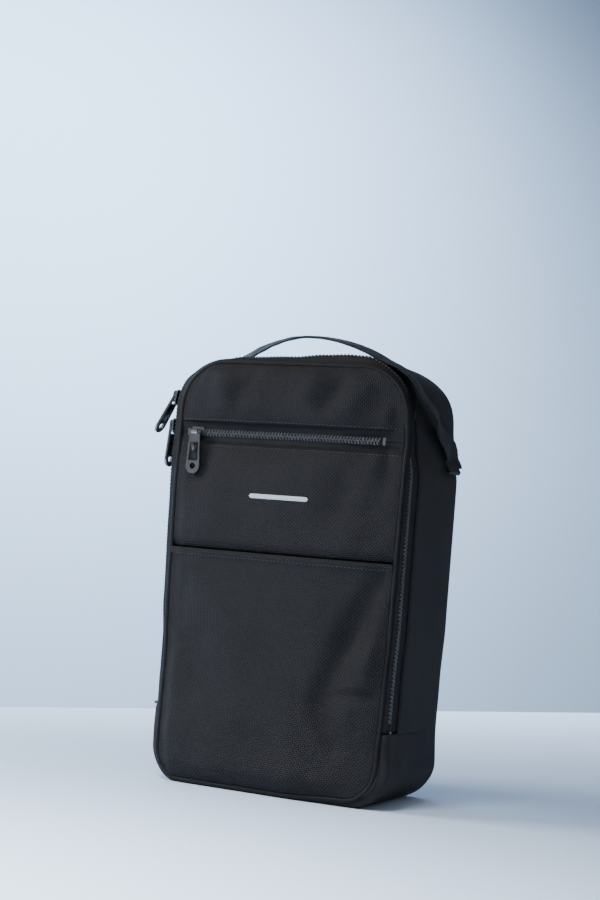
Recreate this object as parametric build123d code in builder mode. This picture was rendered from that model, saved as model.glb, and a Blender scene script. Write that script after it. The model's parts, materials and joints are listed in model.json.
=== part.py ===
"""Golf shoe bag: padded zip-round bag with a fold-down front, a front pocket and a carrying handle.

Units are millimetres. +Z is up, the front faces -Y, and the origin is the centre of the base.
"Inset" is a distance measured inwards from the bag's outer outline, seen from the front.
"""
from build123d import *
import math
import os

# Body
WIDTH = 222.0
DEPTH = 112.0
HEIGHT = 365.0
TOP_RADIUS = 46.0
BOTTOM_RADIUS = 32.0
FRONT_Y = -DEPTH / 2
BACK_Y = DEPTH / 2

# Heights of the seams across the front
FOLD_Z = 61.0          # the front folds down about this line, and the main zip ends here
MIDDLE_SEAM_Z = 199.0
POCKET_ZIP_Z = 298.0
POCKET_WINDOW = 18.0   # height of the slot in the front that the pocket zip fills
FOLD_GAP = 0.2         # half the gap between what folds down and what stays
SEAM_GAP = 0.2

# Layers
FABRIC = 1.2
TAPE = 0.8
FOAM = 3.0
LINING = 0.6
LAYER_GAP = 0.1

# Depths, from front to back
ZIP_Y = FRONT_Y + 11.0            # centre of the main zip
TAPE_BACK_Y = ZIP_Y + 14.0        # where the gusset cloth is sewn to the zip
BEVEL_Y = FRONT_Y + 6.0           # where the edge starts to lean in towards the front
FRONT_FOAM_Y = FRONT_Y + 2.0
FRONT_FOAM_BACK_Y = FRONT_Y + 7.7
BACK_FOAM_Y = BACK_Y - 4.3

# Piping
FRONT_PIPE_INSET = 6.0
FRONT_PIPE_RADIUS = 1.9
FRONT_PIPE_Y = FRONT_Y + 1.6
BACK_PIPE_INSET = 1.6
BACK_PIPE_RADIUS = 1.5
BACK_PIPE_Y = BACK_Y - 1.4
FRONT_INSET = FRONT_PIPE_INSET + FRONT_PIPE_RADIUS + LAYER_GAP
BACK_INSET = BACK_PIPE_INSET + BACK_PIPE_RADIUS + LAYER_GAP
BEVEL_INSET = 5.0
BEVEL_END_Y = FRONT_PIPE_Y + FRONT_PIPE_RADIUS + LAYER_GAP

# Zip chains: two rows of teeth either side of a groove that the slider's post runs in
CHAIN_INSET = 0.9                 # the middle of the main chain's thickness
CHAIN_THICKNESS = 2.4
CHAIN_GROOVE = 1.6
TEETH_WIDTH = 2.2
CHAIN_HALF = CHAIN_GROOVE / 2 + TEETH_WIDTH
TAPE_INSET = CHAIN_INSET - TAPE / 2
STOP_HEIGHT = 2.5
STOP_PROUD = 0.3
MAIN_STOP_Z = FOLD_Z + 1.0
POCKET_CHAIN_Y = FRONT_Y + 1.4
POCKET_TAPE_Y = FRONT_Y + 1.3
POCKET_TAPE_HALF = 13.0
POCKET_ZIP_LEFT = -90.0
POCKET_ZIP_RIGHT = 91.0

# Pocket behind the front: a flat bag between the front cloth and the foam
POCKET_HALF_WIDTH = 92.0
POCKET_BOTTOM_Z = 112.0
POCKET_TOP_Z = 314.0
POCKET_BACK_Y = FRONT_Y + 5.2

# Sliders
SLIDER_LENGTH = 13.0
SLIDER_WIDTH = 9.0
PLATE = 1.1
SLIDER_GAP = 0.4
PLATE_START = CHAIN_THICKNESS / 2 + SLIDER_GAP
PLATE_TOP = PLATE_START + PLATE
PLATE_CORNER = 2.5
POST_WIDTH = 1.0
POST_LENGTH = 3.0
LIP_WIDTH = 1.0
LIP_DEPTH = 0.8
BRIDGE_LENGTH = 10.6
BRIDGE_HEIGHT = 5.1
BRIDGE_BAR = 1.8
BRIDGE_LEG = 1.4
BRIDGE_CORNER = 2.6
PULL_BAR_HEIGHT = PLATE_TOP + 1.5             # axis of a pull that hooks under the bridge
BRIDGE_AXIS_HEIGHT = PLATE_TOP + BRIDGE_HEIGHT - BRIDGE_BAR / 2
LOWER_SLIDER_Z = 303.0
UPPER_SLIDER_ANGLE = 11.0                      # along the top left corner, above the horizontal
POCKET_SLIDER_X = -82.0

# Pulls
PULL_LENGTH = 36.0
PULL_THICKNESS = 1.8
PULL_NECK = 5.0                   # half width beside the slider
PULL_HALF_WIDTH = 6.6             # half width at the tip
PULL_BAR = 0.9
PULL_WINDOW_END = 7.2
PULL_WINDOW_HALF = 3.2
PULL_HOLE = 2.6
PULL_RAIL = 1.8
PULL_RECESS = 0.5
RECESS_MARGIN = 1.8
UPPER_PULL_LEAN = 28.0
LOWER_PULL_LEAN = 3.0
EYE_OUTER = 2.3
EYE_INNER = 1.5
EYE_LENGTH = 5.4

# Handle: a band of webbing sewn to the sides near the back, leaning forward over the top
HANDLE_Y = 35.0
HANDLE_Z = 297.0
HANDLE_BEND = (-20.0, 334.0)      # (y, z) where the band turns upright beside the top corner
HANDLE_TOP_Y = -24.0
HANDLE_TOP_Z = 387.5              # middle of the webbing's thickness at the top of the arch
HANDLE_WIDTH = 25.0
HANDLE_BEND_RADIUS = 30.0
WEBBING = 1.8
HANDLE_X = 114.0                  # middle of the webbing's thickness beside the bag
HANDLE_TOP_RADIUS = 165.0
HANDLE_SHOULDER_X = 91.0          # where the arch's top meets its rounded shoulder
TAB_TOP_Z = HANDLE_Z - 1.0
TAB_LIP_Z = 284.0                 # under this the webbing's folded end sticks out
TAB_DROP = 6.0
TAB_FLARE = 10.0

# Base
BOARD = 2.0
BOARD_HALF_WIDTH = 76.0
BOARD_DEPTH = 96.0
BOARD_Y = 1.5                     # the middle of the board, set back for the thicker front
BOARD_CORNER = 4.0
BASE_FOAM_BACK_Y = FRONT_FOAM_BACK_Y - 2.0


def outline(inset, y):
    """The bag's front outline at depth y, moved inwards all round by inset."""
    width = WIDTH - 2 * inset
    height = HEIGHT - 2 * inset
    with BuildSketch(Plane.XZ.offset(-y), mode=Mode.PRIVATE) as face:
        with Locations((0, HEIGHT / 2)):
            Rectangle(width, height)
        fillet(face.vertices().group_by(Axis.Y)[-1], TOP_RADIUS - inset)
        fillet(face.vertices().group_by(Axis.Y)[0], BOTTOM_RADIUS - inset)
    return face.sketch


def sheet(inset, y_front, y_back):
    """Add a flat sheet of the bag's outline to the part being built."""
    extrude(outline(inset, y_back), amount=y_back - y_front)


def sleeve(inset, thickness, y_front, y_back):
    """Add a wall that follows the bag's outline to the part being built."""
    depth = y_back - y_front
    extrude(outline(inset, y_back), amount=depth)
    extrude(outline(inset + thickness, y_back), amount=depth, mode=Mode.SUBTRACT)


def bevel(inset, thickness):
    """Add the leaning wall between the sides and the front piping to the part being built."""
    wide = BEVEL_INSET + thickness
    loft([outline(inset, BEVEL_Y), outline(BEVEL_INSET, BEVEL_END_Y)])
    loft([outline(inset + thickness, BEVEL_Y), outline(wide, BEVEL_END_Y)], mode=Mode.SUBTRACT)


def keep_above(z):
    split(bisect_by=Plane.XY.offset(z), keep=Keep.TOP)


def keep_below(z):
    split(bisect_by=Plane.XY.offset(z), keep=Keep.BOTTOM)


def piping(inset, y, radius):
    """Add a cord that follows the bag's outline to the part being built."""
    path = outline(inset, y).face().outer_wire()
    with BuildSketch(Plane(origin=path @ 0, z_dir=path % 0), mode=Mode.PRIVATE) as section:
        Circle(radius)
    sweep(section.sketch, path=path)


def save(piece, label):
    piece.part.label = label
    export_step(piece.part, f"parts/{label}.step")


def front_cloth(z_low, z_high):
    """One piece of the front's outer cloth, between two heights."""
    with BuildPart() as cloth:
        sheet(FRONT_INSET, FRONT_Y, FRONT_Y + FABRIC)
        keep_above(z_low)
        keep_below(z_high)
    return cloth


def pocket_strip(z_low, z_high, y_low, y_high, x_low, x_high):
    """A straight strip along the pocket zip."""
    with BuildPart() as strip:
        with BuildSketch(Plane.XZ.offset(-y_high)):
            with Locations(((x_low + x_high) / 2, (z_low + z_high) / 2)):
                Rectangle(x_high - x_low, z_high - z_low)
        extrude(amount=y_high - y_low)
    return strip


def slider(frame, lip_sides):
    """A zip slider: X along its travel, Y across the chain, Z out of the chain."""
    with BuildPart() as body:
        with BuildSketch(frame.offset(PLATE_START)):
            RectangleRounded(SLIDER_LENGTH, SLIDER_WIDTH, PLATE_CORNER)
        extrude(amount=PLATE)
        with BuildSketch(frame.offset(-PLATE_START)):
            RectangleRounded(SLIDER_LENGTH - 2 * LIP_WIDTH, SLIDER_WIDTH - 2 * LIP_WIDTH, PLATE_CORNER)
        extrude(amount=-PLATE)
        with BuildSketch(frame.offset(-PLATE_START)):
            Rectangle(POST_LENGTH, POST_WIDTH)
        extrude(amount=2 * PLATE_START)
        for side in lip_sides:
            with BuildSketch(frame.offset(PLATE_START - LIP_DEPTH)):
                with Locations((0, side * (SLIDER_WIDTH - LIP_WIDTH) / 2)):
                    Rectangle(SLIDER_LENGTH - 2 * PLATE_CORNER, LIP_WIDTH)
            extrude(amount=LIP_DEPTH)
        bridge_plane = Plane(frame.from_local_coords((0, 0, PLATE_TOP)), frame.x_dir, -frame.y_dir)
        with BuildSketch(bridge_plane) as bridge:
            with Locations((0, BRIDGE_HEIGHT / 2)):
                Rectangle(BRIDGE_LENGTH, BRIDGE_HEIGHT)
            fillet(bridge.vertices().group_by(Axis.Y)[-1], BRIDGE_CORNER)
            with Locations((0, (BRIDGE_HEIGHT - BRIDGE_BAR) / 2)):
                Rectangle(BRIDGE_LENGTH - 2 * BRIDGE_LEG, BRIDGE_HEIGHT - BRIDGE_BAR, mode=Mode.SUBTRACT)
        extrude(amount=BRIDGE_BAR / 2, both=True)
    return body


def pull_face(frame, start):
    """A pull's tapered outline, from start to its rounded tip, with the hole in its tip."""
    end = PULL_LENGTH - PULL_HALF_WIDTH
    with BuildSketch(frame, mode=Mode.PRIVATE) as face:
        with BuildLine():
            Polyline((end, -PULL_HALF_WIDTH), (start, -PULL_NECK),
                     (start, PULL_NECK), (end, PULL_HALF_WIDTH))
            ThreePointArc((end, PULL_HALF_WIDTH), (PULL_LENGTH, 0), (end, -PULL_HALF_WIDTH))
        make_face()
        with Locations((end, 0)):
            Circle(PULL_HOLE, mode=Mode.SUBTRACT)
    return face.sketch


def pull_recess(frame, side):
    """The shallow tapered panel sunk into one face of a pull, between its rails."""
    tip_centre = PULL_LENGTH - PULL_HALF_WIDTH
    start = PULL_WINDOW_END + RECESS_MARGIN
    end = tip_centre - PULL_HOLE - RECESS_MARGIN
    taper = (PULL_HALF_WIDTH - PULL_NECK) / tip_centre
    near = PULL_NECK + taper * start - PULL_RAIL
    far = PULL_NECK + taper * end - PULL_RAIL
    with BuildSketch(frame.offset(side * PULL_THICKNESS / 2), mode=Mode.PRIVATE) as face:
        Polygon((start, -near), (end, -far), (end, far), (start, near), align=None)
    return face.sketch


def hooked_pull(frame):
    """A pull whose end bar lies under the slider's bridge. X along the pull, Z out of its face."""
    with BuildPart() as body:
        extrude(pull_face(frame, -PULL_BAR), amount=PULL_THICKNESS / 2, both=True)
        for side in (1, -1):
            extrude(pull_recess(frame, side), amount=-side * PULL_RECESS, mode=Mode.SUBTRACT)
        with BuildSketch(frame):
            with Locations(((PULL_BAR + PULL_WINDOW_END) / 2, 0)):
                Rectangle(PULL_WINDOW_END - PULL_BAR, 2 * PULL_WINDOW_HALF)
        extrude(amount=PULL_THICKNESS, both=True, mode=Mode.SUBTRACT)
    return body


def eye_pull(frame):
    """A pull that ends in an eye round the slider's bridge. X along the pull, Z out of its face."""
    eye_plane = Plane(frame.origin, frame.x_dir, frame.y_dir)
    with BuildPart() as body:
        extrude(pull_face(frame, EYE_INNER), amount=PULL_THICKNESS / 2, both=True)
        for side in (1, -1):
            extrude(pull_recess(frame, side), amount=-side * PULL_RECESS, mode=Mode.SUBTRACT)
        with BuildSketch(eye_plane):
            Circle(EYE_OUTER)
        extrude(amount=EYE_LENGTH / 2, both=True)
        with BuildSketch(eye_plane):
            Circle(EYE_INNER)
        extrude(amount=PULL_HALF_WIDTH, both=True, mode=Mode.SUBTRACT)
    return body


os.makedirs("parts", exist_ok=True)
LID_Z = FOLD_Z + FOLD_GAP
SHELL_Z = FOLD_Z - FOLD_GAP

# Back wall -----------------------------------------------------------------------------------
with BuildPart() as back_panel:
    sheet(BACK_INSET, BACK_Y - FABRIC, BACK_Y)
save(back_panel, "back_panel")

with BuildPart() as back_foam:
    sheet(BACK_INSET, BACK_FOAM_Y, BACK_Y - FABRIC)
save(back_foam, "back_foam")

with BuildPart() as back_lining:
    sheet(FABRIC + FOAM, BACK_FOAM_Y - LAYER_GAP - LINING, BACK_FOAM_Y - LAYER_GAP)
save(back_lining, "back_lining")

with BuildPart() as rear_piping:
    piping(BACK_PIPE_INSET, BACK_PIPE_Y, BACK_PIPE_RADIUS)
save(rear_piping, "rear_piping")

# Upper gusset: the sides and top, above the fold ----------------------------------------------
GUSSET_BACK_Y = BACK_PIPE_Y - BACK_PIPE_RADIUS - LAYER_GAP
FOAM_INSET = FABRIC + LAYER_GAP
LINING_INSET = FOAM_INSET + FOAM + LAYER_GAP
LINING_BACK_Y = BACK_FOAM_Y - 2 * LAYER_GAP - LINING

with BuildPart() as upper_gusset:
    sleeve(0, FABRIC, TAPE_BACK_Y, GUSSET_BACK_Y)
    keep_above(LID_Z)
save(upper_gusset, "upper_gusset")

with BuildPart() as gusset_foam:
    sleeve(FOAM_INSET, FOAM - LAYER_GAP, TAPE_BACK_Y, LINING_BACK_Y)
    keep_above(LID_Z)
save(gusset_foam, "gusset_foam")

with BuildPart() as gusset_lining:
    sleeve(LINING_INSET, LINING, TAPE_BACK_Y, LINING_BACK_Y)
    keep_above(LID_Z)
save(gusset_lining, "gusset_lining")

# Lower gusset: the sides and base, below the fold ---------------------------------------------
with BuildPart() as lower_gusset:
    sleeve(0, FABRIC, BEVEL_Y, GUSSET_BACK_Y)
    bevel(0, FABRIC)
    keep_below(SHELL_Z)
save(lower_gusset, "lower_gusset")

with BuildPart() as base_foam:
    sleeve(FOAM_INSET, FOAM - LAYER_GAP, BEVEL_Y, LINING_BACK_Y)
    keep_below(SHELL_Z)
save(base_foam, "base_foam")

with BuildPart() as base_lining:
    sleeve(LINING_INSET, LINING, BEVEL_Y, LINING_BACK_Y)
    keep_below(SHELL_Z)
save(base_lining, "base_lining")

BOARD_Z = LINING_INSET + LINING + LAYER_GAP
with BuildPart() as base_board:
    with BuildSketch(Plane.XY.offset(BOARD_Z)):
        with Locations((0, BOARD_Y)):
            RectangleRounded(2 * BOARD_HALF_WIDTH, BOARD_DEPTH, BOARD_CORNER)
    extrude(amount=BOARD)
save(base_board, "base_board")

with BuildPart() as base_front_panel:
    sheet(FRONT_INSET, FRONT_Y, FRONT_Y + FABRIC)
    keep_below(SHELL_Z)
save(base_front_panel, "base_front_panel")

with BuildPart() as base_front_foam:
    sheet(FRONT_INSET, FRONT_FOAM_Y, BASE_FOAM_BACK_Y)
    keep_below(SHELL_Z)
save(base_front_foam, "base_front_foam")

with BuildPart() as base_front_lining:
    sheet(FRONT_INSET, BASE_FOAM_BACK_Y, BASE_FOAM_BACK_Y + LINING)
    keep_below(SHELL_Z)
save(base_front_lining, "base_front_lining")

with BuildPart() as base_piping:
    piping(FRONT_PIPE_INSET, FRONT_PIPE_Y, FRONT_PIPE_RADIUS)
    keep_below(SHELL_Z)
save(base_piping, "base_piping")

# Main zip, the half that stays with the gusset -------------------------------------------------
TEETH_INSET = CHAIN_INSET - CHAIN_THICKNESS / 2
CHAIN_END_Z = MAIN_STOP_Z + STOP_HEIGHT

with BuildPart() as main_zip_tape_outer:
    sleeve(TAPE_INSET, TAPE, ZIP_Y + CHAIN_HALF, TAPE_BACK_Y)
    keep_above(MAIN_STOP_Z)
save(main_zip_tape_outer, "main_zip_tape_outer")

with BuildPart() as main_zip_teeth_outer:
    sleeve(TEETH_INSET, CHAIN_THICKNESS, ZIP_Y + CHAIN_GROOVE / 2, ZIP_Y + CHAIN_HALF)
    keep_above(CHAIN_END_Z + LAYER_GAP)
save(main_zip_teeth_outer, "main_zip_teeth_outer")

with BuildPart() as main_zip_stops:
    stop_inset = TEETH_INSET - STOP_PROUD
    stop_depth = CHAIN_THICKNESS + 2 * STOP_PROUD
    sleeve(stop_inset, stop_depth, ZIP_Y + CHAIN_GROOVE / 2, ZIP_Y + CHAIN_HALF)
    keep_above(MAIN_STOP_Z)
    keep_below(CHAIN_END_Z)
save(main_zip_stops, "main_zip_stops")

# Front that folds down -------------------------------------------------------------------------
WINDOW_LOW = POCKET_ZIP_Z - POCKET_WINDOW / 2
WINDOW_HIGH = POCKET_ZIP_Z + POCKET_WINDOW / 2

front_cloths = {
    "front_lower_panel": (LID_Z, MIDDLE_SEAM_Z - SEAM_GAP),
    "front_middle_panel": (MIDDLE_SEAM_Z + SEAM_GAP, WINDOW_LOW),
    "front_upper_panel": (WINDOW_HIGH, HEIGHT),
}
for cloth_name, (cloth_low, cloth_high) in front_cloths.items():
    save(front_cloth(cloth_low, cloth_high), cloth_name)

with BuildPart() as front_foam:
    sheet(FRONT_INSET, FRONT_FOAM_Y, FRONT_FOAM_BACK_Y)
    keep_above(LID_Z)
    with BuildSketch(Plane.XZ.offset(-POCKET_BACK_Y)):
        with Locations((0, (POCKET_BOTTOM_Z + POCKET_TOP_Z) / 2)):
            Rectangle(2 * POCKET_HALF_WIDTH, POCKET_TOP_Z - POCKET_BOTTOM_Z)
    extrude(amount=DEPTH, mode=Mode.SUBTRACT)
save(front_foam, "front_foam")

with BuildPart() as pocket_backing:
    with BuildSketch(Plane.XZ.offset(-POCKET_BACK_Y)):
        with Locations((0, (POCKET_BOTTOM_Z + POCKET_TOP_Z) / 2)):
            Rectangle(2 * POCKET_HALF_WIDTH, POCKET_TOP_Z - POCKET_BOTTOM_Z)
    extrude(amount=LINING)
save(pocket_backing, "pocket_backing")

with BuildPart() as front_lining:
    sheet(FRONT_INSET, FRONT_FOAM_BACK_Y, FRONT_FOAM_BACK_Y + LINING)
    keep_above(LID_Z)
save(front_lining, "front_lining")

with BuildPart() as front_piping:
    piping(FRONT_PIPE_INSET, FRONT_PIPE_Y, FRONT_PIPE_RADIUS)
    keep_above(LID_Z)
save(front_piping, "front_piping")

with BuildPart() as main_zip_tape_inner:
    sleeve(TAPE_INSET, TAPE, BEVEL_Y, ZIP_Y - CHAIN_HALF)
    bevel(TAPE_INSET, TAPE)
    keep_above(MAIN_STOP_Z)
save(main_zip_tape_inner, "main_zip_tape_inner")

with BuildPart() as main_zip_teeth_inner:
    sleeve(TEETH_INSET, CHAIN_THICKNESS, ZIP_Y - CHAIN_HALF, ZIP_Y - CHAIN_GROOVE / 2)
    keep_above(CHAIN_END_Z + LAYER_GAP)
save(main_zip_teeth_inner, "main_zip_teeth_inner")

# Pocket zip ------------------------------------------------------------------------------------
CHAIN_FRONT_Y = POCKET_CHAIN_Y - CHAIN_THICKNESS / 2
CHAIN_BACK_Y = POCKET_CHAIN_Y + CHAIN_THICKNESS / 2
TAPE_END = WIDTH / 2 - FRONT_INSET
rows = {"upper": 1, "lower": -1}
for row_name, row_side in rows.items():
    near = POCKET_ZIP_Z + row_side * CHAIN_GROOVE / 2
    edge = POCKET_ZIP_Z + row_side * CHAIN_HALF
    far = POCKET_ZIP_Z + row_side * POCKET_TAPE_HALF
    teeth = pocket_strip(min(near, edge), max(near, edge), CHAIN_FRONT_Y, CHAIN_BACK_Y,
                         POCKET_ZIP_LEFT, POCKET_ZIP_RIGHT)
    save(teeth, f"pocket_zip_teeth_{row_name}")
    tape = pocket_strip(min(edge, far), max(edge, far), POCKET_TAPE_Y, POCKET_TAPE_Y + LINING,
                        -TAPE_END, TAPE_END)
    save(tape, f"pocket_zip_tape_{row_name}")

with BuildPart() as pocket_zip_stops:
    stop_middles = ((POCKET_ZIP_LEFT - STOP_HEIGHT / 2, POCKET_ZIP_Z),
                    (POCKET_ZIP_RIGHT + STOP_HEIGHT / 2, POCKET_ZIP_Z))
    with BuildSketch(Plane.XZ.offset(-POCKET_TAPE_Y)):
        with Locations(stop_middles):
            Rectangle(STOP_HEIGHT - LAYER_GAP, 2 * CHAIN_HALF)
    extrude(amount=FABRIC)
save(pocket_zip_stops, "pocket_zip_stops")

# Sliders and pulls -----------------------------------------------------------------------------
CHAIN_X = -(WIDTH / 2 - CHAIN_INSET)
CORNER_X = -(WIDTH / 2 - TOP_RADIUS)
CORNER_Z = HEIGHT - TOP_RADIUS
CHAIN_RADIUS = TOP_RADIUS - CHAIN_INSET
upper_sin = math.sin(math.radians(UPPER_SLIDER_ANGLE))
upper_cos = math.cos(math.radians(UPPER_SLIDER_ANGLE))

lower_frame = Plane(origin=(CHAIN_X, ZIP_Y, LOWER_SLIDER_Z), x_dir=(0, 0, 1), z_dir=(-1, 0, 0))
upper_frame = Plane(
    origin=(CORNER_X - CHAIN_RADIUS * upper_cos, ZIP_Y, CORNER_Z + CHAIN_RADIUS * upper_sin),
    x_dir=(upper_sin, 0, upper_cos),
    z_dir=(-upper_cos, 0, upper_sin),
)
pocket_frame = Plane(
    origin=(POCKET_SLIDER_X, POCKET_CHAIN_Y, POCKET_ZIP_Z), x_dir=(-1, 0, 0), z_dir=(0, -1, 0)
)

save(slider(lower_frame, (1,)), "main_slider_lower")
save(slider(upper_frame, (1,)), "main_slider_upper")
save(slider(pocket_frame, (-1, 1)), "pocket_slider")


def side_pull_frame(slider_frame, lean):
    """Where a pull hangs on a side slider, tipped outwards by lean degrees."""
    lean_sin = math.sin(math.radians(lean))
    lean_cos = math.cos(math.radians(lean))
    axis_point = slider_frame.from_local_coords((0, 0, PULL_BAR_HEIGHT))
    return Plane(origin=axis_point, x_dir=(-lean_sin, 0, -lean_cos), z_dir=(-lean_cos, 0, lean_sin))


save(hooked_pull(side_pull_frame(lower_frame, LOWER_PULL_LEAN)), "main_pull_lower")
save(hooked_pull(side_pull_frame(upper_frame, UPPER_PULL_LEAN)), "main_pull_upper")
pocket_pull_frame = Plane(
    origin=pocket_frame.from_local_coords((0, 0, BRIDGE_AXIS_HEIGHT)), x_dir=(0, 0, -1), z_dir=(0, -1, 0)
)
save(eye_pull(pocket_pull_frame), "pocket_pull")

# Handle ----------------------------------------------------------------------------------------
shoulder_sin = HANDLE_SHOULDER_X / HANDLE_TOP_RADIUS
shoulder_angle = math.asin(shoulder_sin)
shoulder_radius = (HANDLE_X - HANDLE_SHOULDER_X) / (1 - shoulder_sin)
shoulder_top = HANDLE_TOP_Z - HANDLE_TOP_RADIUS * (1 - math.cos(shoulder_angle))
shoulder_foot = shoulder_top - shoulder_radius * math.cos(shoulder_angle)
shoulder_mid_angle = (shoulder_angle + math.pi / 2) / 2
shoulder_mid = (HANDLE_X - shoulder_radius * (1 - math.sin(shoulder_mid_angle)),
                shoulder_foot + shoulder_radius * math.cos(shoulder_mid_angle))

with BuildPart() as handle_webbing:
    with BuildSketch(Plane.XZ) as arch_band:
        with BuildLine() as arch:
            Line((-HANDLE_X, HANDLE_Z), (-HANDLE_X, shoulder_foot))
            ThreePointArc((-HANDLE_X, shoulder_foot), (-shoulder_mid[0], shoulder_mid[1]),
                          (-HANDLE_SHOULDER_X, shoulder_top))
            ThreePointArc((-HANDLE_SHOULDER_X, shoulder_top), (0, HANDLE_TOP_Z),
                          (HANDLE_SHOULDER_X, shoulder_top))
            ThreePointArc((HANDLE_SHOULDER_X, shoulder_top), shoulder_mid,
                          (HANDLE_X, shoulder_foot))
            Line((HANDLE_X, shoulder_foot), (HANDLE_X, HANDLE_Z))
            offset(amount=WEBBING / 2, kind=Kind.ARC, side=Side.BOTH)
        make_face()
    extrude(amount=DEPTH, both=True)
    with BuildSketch(Plane.YZ):
        with BuildLine():
            FilletPolyline((HANDLE_Y, HANDLE_Z), HANDLE_BEND, (HANDLE_TOP_Y, HANDLE_TOP_Z + HANDLE_WIDTH),
                           radius=HANDLE_BEND_RADIUS)
            offset(amount=HANDLE_WIDTH / 2, kind=Kind.ARC, side=Side.BOTH)
        make_face()
    extrude(amount=WIDTH, both=True, mode=Mode.INTERSECT)
    with BuildSketch(Plane.YZ.offset(-HANDLE_X - WEBBING / 2), Plane.YZ.offset(HANDLE_X - WEBBING / 2)):
        with Locations((HANDLE_Y, HANDLE_Z)):
            Circle(HANDLE_WIDTH / 2)
    extrude(amount=WEBBING)
save(handle_webbing, "handle_webbing")


def handle_tab(side):
    """The webbing's end, folded under the handle against the bag's side, with its lip sticking out."""
    x = side * WIDTH / 2
    tip_x = x + side * TAB_FLARE
    with BuildPart() as tab:
        with BuildSketch(Plane.XZ.offset(-HANDLE_Y)):
            Polygon(
                (x, TAB_TOP_Z),
                (x + side * WEBBING, TAB_TOP_Z),
                (x + side * WEBBING, TAB_LIP_Z),
                (tip_x, TAB_LIP_Z - TAB_DROP + WEBBING),
                (tip_x - side * WEBBING, TAB_LIP_Z - TAB_DROP),
                (x, TAB_LIP_Z - TAB_DROP / 2),
                align=None,
            )
        extrude(amount=HANDLE_WIDTH / 2, both=True)
    return tab


save(handle_tab(-1), "handle_tab_left")
save(handle_tab(1), "handle_tab_right")
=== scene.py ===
"""Looks of the golf shoe bag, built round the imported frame. Metres, row frame: +Z up, front -Y."""
import json
import math

import bmesh
import bpy
from mathutils import Matrix, Vector, noise


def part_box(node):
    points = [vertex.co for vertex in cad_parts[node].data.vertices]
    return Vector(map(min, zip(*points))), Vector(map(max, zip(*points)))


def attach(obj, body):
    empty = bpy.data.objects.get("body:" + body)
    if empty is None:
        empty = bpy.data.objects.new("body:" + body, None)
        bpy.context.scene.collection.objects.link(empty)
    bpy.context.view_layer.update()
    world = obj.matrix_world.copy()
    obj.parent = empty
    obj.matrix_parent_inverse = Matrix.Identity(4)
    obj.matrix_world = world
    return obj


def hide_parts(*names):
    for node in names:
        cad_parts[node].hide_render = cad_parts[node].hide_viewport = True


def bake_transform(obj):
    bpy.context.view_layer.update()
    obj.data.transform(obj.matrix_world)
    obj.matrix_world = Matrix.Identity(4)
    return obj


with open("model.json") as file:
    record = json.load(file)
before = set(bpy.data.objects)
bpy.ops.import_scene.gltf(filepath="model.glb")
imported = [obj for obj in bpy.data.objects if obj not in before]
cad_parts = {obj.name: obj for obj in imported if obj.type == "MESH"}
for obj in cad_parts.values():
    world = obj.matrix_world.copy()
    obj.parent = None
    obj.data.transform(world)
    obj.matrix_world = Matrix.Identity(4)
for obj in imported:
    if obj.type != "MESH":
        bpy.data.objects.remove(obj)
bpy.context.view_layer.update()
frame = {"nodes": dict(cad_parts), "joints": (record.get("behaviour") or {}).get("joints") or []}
MM = 0.001

# === Sizes and places, from the frame ===
gusset_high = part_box("upper_gusset")[1]
front_low, front_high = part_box("front_middle_panel")
fold_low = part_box("front_lower_panel")[0]
teeth_outer_low, teeth_outer_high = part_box("main_zip_teeth_outer")
teeth_inner_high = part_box("main_zip_teeth_inner")[1]
tape_outer_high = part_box("main_zip_tape_outer")[1]
pocket_low, pocket_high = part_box("pocket_zip_teeth_lower")
pocket_top_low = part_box("pocket_zip_teeth_upper")[0]
piping_low, piping_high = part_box("front_piping")
rear_low, rear_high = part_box("rear_piping")

HALF_WIDTH = gusset_high.x
TOP_Z = gusset_high.z
FOLD_Z = fold_low.z
FRONT_Y = front_low.y
BACK_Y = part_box("back_panel")[1].y
ZIP_Y = (teeth_inner_high.y + teeth_outer_low.y) / 2
CHAIN_HALF = teeth_outer_high.y - ZIP_Y
CHAIN_DEPTH = 0.9 * MM
CLOTH_THICKNESS = 1.0 * MM
TAPE_THICKNESS = 0.6 * MM
TAPE_BACK_Y = tape_outer_high.y
MIDDLE_SEAM_Z = front_low.z
WINDOW_LOW_Z = front_high.z
WINDOW_HIGH_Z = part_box("front_upper_panel")[0].z
POCKET_Z = (pocket_high.z + pocket_top_low.z) / 2
TOP_RADIUS = 46 * MM
BOTTOM_RADIUS = 32 * MM
PIPE_RADIUS = (piping_high.y - piping_low.y) / 2
PIPE_Y = (piping_high.y + piping_low.y) / 2
PIPE_INSET = 6 * MM
REAR_PIPE_RADIUS = (rear_high.y - rear_low.y) / 2
REAR_PIPE_Y = (rear_high.y + rear_low.y) / 2
REAR_PIPE_INSET = 1.6 * MM
LINING_INSET = 4.6 * MM
webbing_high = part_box("handle_webbing")[1]
joints = {joint["name"]: joint for joint in frame["joints"]}
HANDLE_PIVOT = Vector(joints["handle_lean"]["pos_m"])
WEBBING = 1.8 * MM
HANDLE_X = webbing_high.x - WEBBING / 2
HANDLE_TOP_Z = webbing_high.z - WEBBING / 2
HANDLE_TOP_RADIUS = 165 * MM
HANDLE_SHOULDER_X = 91 * MM


# === Small maths ===
def smooth(value, low, high):
    """0 at low, 1 at high, smooth between."""
    t = min(1.0, max(0.0, (value - low) / (high - low)))
    return t * t * (3 - 2 * t)


def bell(value, width):
    return math.exp(-(value / width) ** 2)


def beside(start, end, a, b):
    """How far along the line from start to end, 0 to 1, the place (a, b) is, and how far off it."""
    line = Vector((end[0] - start[0], end[1] - start[1]))
    along = ((a - start[0]) * line.x + (b - start[1]) * line.y) / line.length_squared
    return along, abs((a - start[0]) * line.y - (b - start[1]) * line.x) / line.length


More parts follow.
